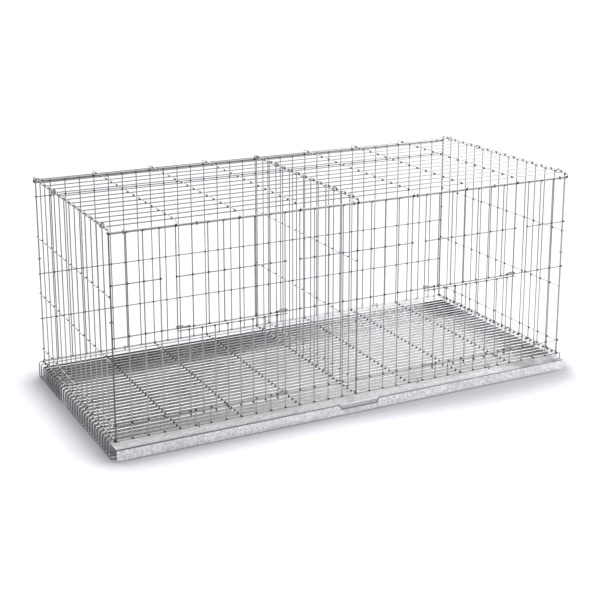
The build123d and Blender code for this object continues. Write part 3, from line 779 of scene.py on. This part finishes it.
for rail_y, flange_y, outward in ((FRONT_RAIL_Y, FLANGE_FRONT_Y, (0, -1, 0)),
                                  (BACK_RAIL_Y, FLANGE_REAR_Y, (0, 1, 0))):
    lid.append(welds([(x, (rail_y + flange_y) / 2, LID_EDGE_Z) for x in CROSS_X], (0, 0, 1), outward))
piece("lid", lid, "cage", ["lid_long_wires", "lid_edge_wires", "lid_cross_wires"])

# Floor: long wires that bend down as legs and in as feet

floor_y = [along_floor(i) for i in range(FLOOR_BAYS + 1)]
leg_corners = [(FOOT_LENGTH - LEG_X, FOOT_Z), (-LEG_X, FOOT_Z), (-LEG_X, FLOOR_Z)]
leg_corners += [(-x, z) for x, z in reversed(leg_corners)]
floor = [bent_row([(x, floor_y[0], z) for x, z in leg_corners], [FOOT_BEND, LEG_BEND, LEG_BEND, FOOT_BEND],
                  FLOOR_BAYS + 1, (0, FLOOR_BAY, 0), seed=121, finish=FLOOR_SHEEN_WIRE)]
for place, x in enumerate(CROSS_X):
    front_end, rear_end = [(x, y, FLOOR_CROSS_Z) for y in (SIDE_FRONT_Y - WIRE / 2, SIDE_REAR_Y + WIRE / 2)]
    floor.append(row(front_end, rear_end, seed=122 + place, cuts=12, finish=BRIGHT_WIRE))
weld_z = (FLOOR_Z + FLOOR_CROSS_Z) / 2
spots = [(x, y, weld_z) for x in CROSS_X for y in floor_y]
floor.append(welds(spots, (1, 0, 0), (0, 0, 1), FLOOR_TINT, FLOOR_NUGGET))
piece("floor_grid", floor, "cage",
      ["floor_long_wires", "floor_left_legs", "floor_right_legs", "floor_cross_wires"])

# Doors

door_left = across(GUIDES[0]) + DOOR_MARGIN
door_right = across(GUIDES[1]) - DOOR_MARGIN
door_pitch = (door_right - door_left) / (DOOR_WIRES - 1)
beside_loop = (DOOR_WIRES - 2) // 2
door_foot_z, door_head_z = DOOR_LOW_Z - WIRE_END, DOOR_HIGH_Z + WIRE_END
doors_apart = across(GUIDES[2]) - across(GUIDES[0])
for name, shift, seed in (("left_door", 0.0, 140), ("right_door", doors_apart, 160)):
    door = [uprights(shift + door_left + start * door_pitch, DOOR_UPRIGHT_Y, door_foot_z, door_head_z,
                     beside_loop, door_pitch, seed=seed + start, cuts=4, finish=FRONT_WIRE)
            for start in (0, beside_loop + 2)]
    rail_left = shift + across(GUIDES[0]) - DOOR_RAIL_END
    rail_right = shift + across(GUIDES[1]) + DOOR_RAIL_END
    for place, (z, finish) in enumerate(((DOOR_LOW_Z, LIGHTER_WIRE), (DOOR_HIGH_Z, GALVANISED_WIRE))):
        door.append(rail(rail_left, rail_right, DOOR_RAIL_Y, z, seed=seed + 2 + place, cuts=6, finish=finish))
    # The two middle uprights are one wire, bent to a finger loop under the door
    loop_left = shift + (door_left + door_right) / 2 - door_pitch / 2
    loop_right = loop_left + door_pitch
    loop = [(loop_left, door_head_z), (loop_left, LOOP_Z), (loop_right, LOOP_Z), (loop_right, door_head_z)]
    door.append(bent_row([(x, DOOR_UPRIGHT_Y, z) for x, z in loop], [LOOP_BEND, LOOP_BEND], seed=seed + 5,
                         finish=FRONT_WIRE))
    # Hooks that reach round the guide wires
    for guide, end_x, way in ((GUIDES[0], door_left, 1), (GUIDES[1], door_right, -1)):
        guide_x = shift + across(guide)
        outer_x, rear_y = guide_x - way * HOOK_STEP, FRONT_Y + HOOK_STEP
        hook = [(shift + end_x + way * WIRE_END, DOOR_RAIL_Y), (outer_x, DOOR_RAIL_Y), (outer_x, rear_y),
                (guide_x + way * HOOK_REACH, rear_y)]
        door.append(bent_row([(x, y, HOOKS_Z[0]) for x, y in hook], [HOOK_BEND, HOOK_BEND], 2,
                             (0, 0, HOOKS_Z[1] - HOOKS_Z[0]), seed=seed + 7 + guide))
    weld_y = (DOOR_UPRIGHT_Y + DOOR_RAIL_Y) / 2
    door_x = [door_left + i * door_pitch for i in range(DOOR_WIRES)]
    spots = [(shift + x, weld_y, z) for x in door_x for z in (DOOR_LOW_Z, DOOR_HIGH_Z)]
    spots += [(shift + x, weld_y, z) for x in (door_left, door_right) for z in HOOKS_Z]
    door.append(welds(spots, (0, 0, 1), (0, -1, 0), nugget=SMALL_NUGGET))
    piece(name + "_wires", door, name,
          [name + "_uprights", name + "_rails", name + "_lift_wire", name + "_hooks"])

# C-rings

edge_z = (TOP_Z + LID_EDGE_Z) / 2
ends_x = (-SIDE_RAIL_X, SIDE_RAIL_X)
corners = [(x, y, CORNER_RING_Z) for x in (-HALF, HALF) for y in (FRONT_Y + PITCH / 2, BACK_Y - PITCH / 2)]
ring_meshes = [
    rings([(across(i), FRONT_RAIL_Y, edge_z) for i in LID_FRONT_RINGS], SMALL_RING, (1, 0, 0)),
    rings([(across(i), BACK_RAIL_Y, edge_z) for i in LID_BACK_RINGS], SMALL_RING, (-1, 0, 0)),
    rings([(x, along_side(i), LID_LONG_Z) for x in ends_x for i in LID_SIDE_RINGS], LARGE_RING, (0, 1, 0)),
    rings([(across(i), FRONT_Y, FLOOR_Z) for i in FLOOR_FRONT_RINGS], LARGE_RING, (1, 0, 0)),
    rings([(across(i), BACK_Y, FLOOR_Z) for i in FLOOR_BACK_RINGS], LARGE_RING, (-1, 0, 0)),
    rings([(x, along_floor(i), FLOOR_Z) for x in ends_x for i in FLOOR_SIDE_RINGS], LARGE_RING, (0, 1, 0)),
    rings([(0, along_side(i), LID_LONG_Z) for i in DIVIDER_TOP_RINGS], LARGE_RING, (0, 1, 0)),
    rings([(0, along_floor(i), FLOOR_Z) for i in DIVIDER_FOOT_RINGS], LARGE_RING, (0, 1, 0)),
    rings(corners, SMALL_RING, (0, 0, 1)),
]
piece("c_rings", ring_meshes, "cage",
      ["lid_front_rings", "lid_back_rings", "lid_side_rings", "floor_front_rings", "floor_back_rings",
       "floor_side_rings", "divider_rings", "corner_rings"])

# Tray: one sheet folded to a pan, a flat lip and a hemmed front with a finger slot


def rounded(corners, radius, arc_steps=4):
    """A line through the corners with each inner corner turned into a small arc."""
    line = [Vector(corners[0])]
    for before, corner, after in zip(corners, corners[1:], corners[2:]):
        corner = Vector(corner)
        back, ahead = (Vector(before) - corner).normalized(), (Vector(after) - corner).normalized()
        start, end = corner + back * radius, corner + ahead * radius
        for i in range(arc_steps + 1):
            t = i / arc_steps
            line.append(start.lerp(corner, t).lerp(corner.lerp(end, t), t))
    line.append(Vector(corners[-1]))
    return line


def tray_middle():
    """The middle of the tray's sheet, with its masks of painted shade along the fold and in the pan, before
    it gets its thickness.
    """
    half_sheet = SHEET / 2
    face_y = TRAY_FRONT_Y + half_sheet
    low_z, rim_z = TRAY_LOW_Z + half_sheet, TRAY_RIM_Z - half_sheet
    front_wall_y, rear_wall_y = PAN_FRONT_Y + half_sheet, PAN_REAR_Y - half_sheet
    side_x = TRAY_HALF - half_sheet
    inner_x = side_x - SHEET_FOLD
    pan_columns = [-inner_x, -SLOT_WIDE, -SLOT_NARROW, SLOT_NARROW, SLOT_WIDE, inner_x]
    columns = [-TRAY_HALF, *pan_columns, TRAY_HALF]

    sheet = bmesh.new()
    fold_layer = sheet.verts.layers.float.new("fold")
    inside = sheet.verts.layers.float.new("pan")

    def strip(line, columns, tint_where=None, slot_tint=None):
        """A strip of sheet along X that follows a line of (y, z) points; the dictionaries give the painted
        shade of each of them.
        """
        rows = []
        for x in columns:
            tint_amount = slot_tint if slot_tint and abs(x) <= SLOT_NARROW else tint_where or {}
            verts = [sheet.verts.new((x, y, z)) for y, z in line]
            for i, vert in enumerate(verts):
                vert[fold_layer] = tint_amount.get(i, 0.0) * (1 - LESS_SHADE_RIGHT * x / TRAY_HALF)
                vert[inside] = 1.0 if vert.co.y > PAN_FRONT_Y + 2 * SHEET_FOLD else 0.0
            rows.append(verts)
        for left, right in zip(rows, rows[1:]):
            for i in range(len(line) - 1):
                sheet.faces.new((left[i], right[i], right[i + 1], left[i + 1]))

    def end_face(way, *corners):
        """One face at the right end, or its mirror image at the left end."""
        verts = [sheet.verts.new((way * x, y, z)) for x, y, z in corners]
        sheet.faces.new(verts if way > 0 else verts[::-1])
        return verts

    # The hem doubled up behind the face, and the face below the slot
    hem_y, edge_z = face_y + SHEET, FACE_LOW_Z + half_sheet
    strip(rounded([(hem_y, FACE_LOW_Z + HEM_HEIGHT), (hem_y, edge_z), (face_y, edge_z),
                   (face_y, SLOT_LOW_Z)], HEM_BEND), columns)
    # Over the fold to the lip, and down into the pan
    # Painted shade over the fold and, in the slot, on its lower half; it reaches a little onto the lip
    shade_end = Vector((face_y + FOLD_SHADE_REACH, rim_z))
    over = rounded([(face_y, SLOT_HIGH_Z), (face_y, rim_z), shade_end], SHEET_FOLD)
    strip(over, columns, {i: FOLD_SHADE for i in range(1, len(over) - 1)},
          {i: SLOT_SHADE for i in range(len(over) // 2)})
    pan = rounded([shade_end, (front_wall_y, rim_z), (front_wall_y, low_z), (rear_wall_y, low_z),
                   (rear_wall_y, TRAY_RIM_Z)], SHEET_FOLD)
    strip(pan, pan_columns)
    # The tongue pressed in from the slot, grey with painted shade and with a painted dark tip
    in_y, down_z = TONGUE_LENGTH * math.sin(TONGUE_LEAN), TONGUE_LENGTH * math.cos(TONGUE_LEAN)
    tongue = [(face_y + part * in_y, SLOT_HIGH_Z - part * down_z) for part in (0, TONGUE_TIP, 1)]
    strip(tongue, [-SLOT_NARROW, SLOT_NARROW], {0: SLOT_SHADE, 1: SLOT_SHADE, 2: 1.0})
    # The face beside the slot, the lip's ends and the side walls
    walls = rounded([(inner_x, low_z), (side_x, low_z), (side_x, TRAY_RIM_Z)], SHEET_FOLD)
    stations = (PAN_FRONT_Y, front_wall_y + SHEET_FOLD, rear_wall_y - SHEET_FOLD, PAN_REAR_Y)
    for way in (-1, 1):
        for near, far in ((SLOT_WIDE, inner_x), (inner_x, TRAY_HALF)):
            end_face(way, (near, face_y, SLOT_LOW_Z), (far, face_y, SLOT_LOW_Z), (far, face_y, SLOT_HIGH_Z),
                     (near, face_y, SLOT_HIGH_Z))
        end_face(way, (SLOT_NARROW, face_y, SLOT_LOW_Z), (SLOT_WIDE, face_y, SLOT_LOW_Z),
                 (SLOT_WIDE, face_y, SLOT_HIGH_Z))
        end_face(way, (inner_x, shade_end.x, rim_z), (TRAY_HALF, shade_end.x, rim_z),
                 (TRAY_HALF, pan[1].x, rim_z), (inner_x, pan[1].x, rim_z))
        for front_end, rear_end in zip(stations, stations[1:]):
            for (x0, z0), (x1, z1) in zip(walls, walls[1:]):
                for vert in end_face(way, (x0, front_end, z0), (x1, front_end, z1), (x1, rear_end, z1),
                                     (x0, rear_end, z0)):
                    # The side walls take the pan's painted shade, outside too
                    vert[inside] = 1.0
    bmesh.ops.remove_doubles(sheet, verts=sheet.verts, dist=MERGE_WITHIN)
    bmesh.ops.recalc_face_normals(sheet, faces=sheet.faces)
    mesh = bpy.data.meshes.new("drip_tray")
    sheet.to_mesh(mesh)
    sheet.free()
    return mesh


def folded_tray():
    """The tray with the thickness of its sheet, riding on its own body."""
    middle = tray_middle()
    middle.materials.append(GALVANISED_SHEET)
    tray = bpy.data.objects.new("drip_tray", middle)
    bpy.context.scene.collection.objects.link(tray)
    wall = tray.modifiers.new("sheet", "SOLIDIFY")
    wall.thickness = SHEET
    wall.offset = 0.0
    wall.use_even_offset = True
    view = bpy.context.evaluated_depsgraph_get()
    solid = bpy.data.meshes.new_from_object(tray.evaluated_get(view))
    tray.modifiers.clear()
    tray.data = solid
    bpy.data.meshes.remove(middle)
    solid.name = "drip_tray"
    # The outside of the rear wall gets none of the pan's painted shade
    pan_mask = solid.attributes["pan"].data
    for vert in solid.vertices:
        if vert.co.y > PAN_REAR_Y - SHEET / 2:
            pan_mask[vert.index].value = 0.0
    for face in solid.polygons:
        face.use_smooth = True
    solid.set_sharp_from_angle(angle=SHARP_FOLD)
    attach(tray, "tray")
    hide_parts("tray_floor", "tray_side_walls", "tray_rear_wall", "tray_front_wall", "tray_lip",
                "tray_front_left", "tray_front_right", "tray_slot_top", "tray_slot_bottom", "tray_hem")


folded_tray()

# Studio


def studio_floor():
    """A white floor that darkens close round the object, most of all towards its right end."""
    reach = 40.0
    mesh = bpy.data.meshes.new("studio_floor")
    mesh.from_pydata([(-reach, -reach, 0), (reach, -reach, 0), (reach, reach, 0), (-reach, reach, 0)], [],
                     [(0, 1, 2, 3)])
    ground = bpy.data.objects.new("studio_floor", mesh)
    bpy.context.scene.collection.objects.link(ground)
    material = bpy.data.materials.new("studio_floor_look")
    material.use_nodes = True
    tree = material.node_tree
    tree.nodes.remove(tree.nodes["Principled BSDF"])
    x, _, _ = axes(tree, tree.nodes.new("ShaderNodeTexCoord").outputs["Object"])
    right_end = product(tree, spread(tree, x, SHADOW_GROWS_X), spread(tree, x, SHADOW_FADES_X, 1.0, 0.15))
    near = spread(tree, right_end, ALL, *SHADOW_REACH)
    contact = add(tree, "ShaderNodeAmbientOcclusion", Distance=near).outputs["AO"]
    deep = maths(tree, "POWER", contact, spread(tree, right_end, ALL, *SHADOW_DEPTH))
    rays = tree.nodes.new("ShaderNodeLightPath").outputs
    shown = most(tree, rays["Is Camera Ray"], rays["Is Glossy Ray"])
    paint = add(tree, "ShaderNodeBsdfDiffuse", Color=FLOOR_PAINT)
    glow = add(tree, "ShaderNodeEmission", Color=FLOOR_GLOW,
               Strength=product(tree, shown, maths(tree, "MULTIPLY_ADD", deep, 0.62, 0.18)))
    both = add(tree, "ShaderNodeAddShader", paint.outputs["BSDF"], glow.outputs["Emission"])
    tree.links.new(both.outputs["Shader"], tree.nodes["Material Output"].inputs["Surface"])
    mesh.materials.append(material)


def white_room():
    """A dim, slightly blue light all round that is seen, and mirrored in the metal, as plain white."""
    world = bpy.data.worlds.new("white_room")
    bpy.context.scene.world = world
    world.use_nodes = True
    tree = world.node_tree
    light = tree.nodes["Background"]
    light.inputs["Color"].default_value = ROOM_LIGHT
    light.inputs["Strength"].default_value = 0.28
    seen = add(tree, "ShaderNodeBackground", Color=(1, 1, 1, 1))
    rays = tree.nodes.new("ShaderNodeLightPath").outputs
    shown = most(tree, rays["Is Camera Ray"], rays["Is Glossy Ray"], rays["Is Transmission Ray"])
    blend = add(tree, "ShaderNodeMixShader", shown, light.outputs["Background"], seen.outputs["Background"])
    tree.links.new(blend.outputs["Shader"], tree.nodes["World Output"].inputs["Surface"])


def placed(name, data, towards, place=(0, 0, 0)):
    """A light or a camera in the scene that looks a way."""
    holder = bpy.data.objects.new(name, data)
    holder.location = place
    holder.rotation_euler = Vector(towards).to_track_quat("-Z", "Y").to_euler()
    bpy.context.scene.collection.objects.link(holder)
    return holder


def soft_sun(name, towards, degrees, strength):
    """One broad, even light: the same on the whole floor."""
    lamp = bpy.data.lights.new(name, "SUN")
    lamp.energy = strength
    lamp.angle = math.radians(degrees)
    placed(name, lamp, towards)


def soft_box(name, place, aim, side, power):
    """One square softbox that shines on a spot and isn't mirrored in the metal."""
    lamp = bpy.data.lights.new(name, "AREA")
    lamp.energy = power
    lamp.size = side
    placed(name, lamp, Vector(aim) - Vector(place), place).visible_glossy = False


def camera():
    """The camera, fitted to the photo by the cage's corners; the focal length is in the photo's pixels."""
    focal_px, photo_px = 1257.2, 600
    azimuth, elevation = math.radians(-27.23), math.radians(13.91)
    distance = 2.623 * WIDTH
    aim = Vector((-0.006 * WIDTH, (FRONT_Y + BACK_Y) / 2, FLOOR_Z + 0.3258 * WIDTH))
    lens = bpy.data.cameras.new("camera")
    lens.sensor_width = 36.0
    lens.lens = focal_px / photo_px * lens.sensor_width
    lens.shift_y = -0.15
    away = Vector((math.sin(azimuth) * math.cos(elevation), -math.cos(azimuth) * math.cos(elevation),
                   math.sin(elevation)))
    bpy.context.scene.camera = placed("camera", lens, -away, aim + distance * away)


studio_floor()
white_room()
soft_sun("overhead_softbox", towards=(-0.15, 0.9, -0.9), degrees=60, strength=1.5)
soft_sun("rear_left_softbox", towards=(0.45, -0.50, -0.62), degrees=30, strength=0.6)
soft_sun("rear_right_softbox", towards=(-0.66, -0.46, -0.60), degrees=30, strength=0.8)
soft_box("right_softbox", place=(1.2, -1.3, 0.7), aim=(0.30, -0.20, 0.10), side=0.8, power=20.0)
camera()
bpy.context.scene.view_settings.view_transform = "Standard"
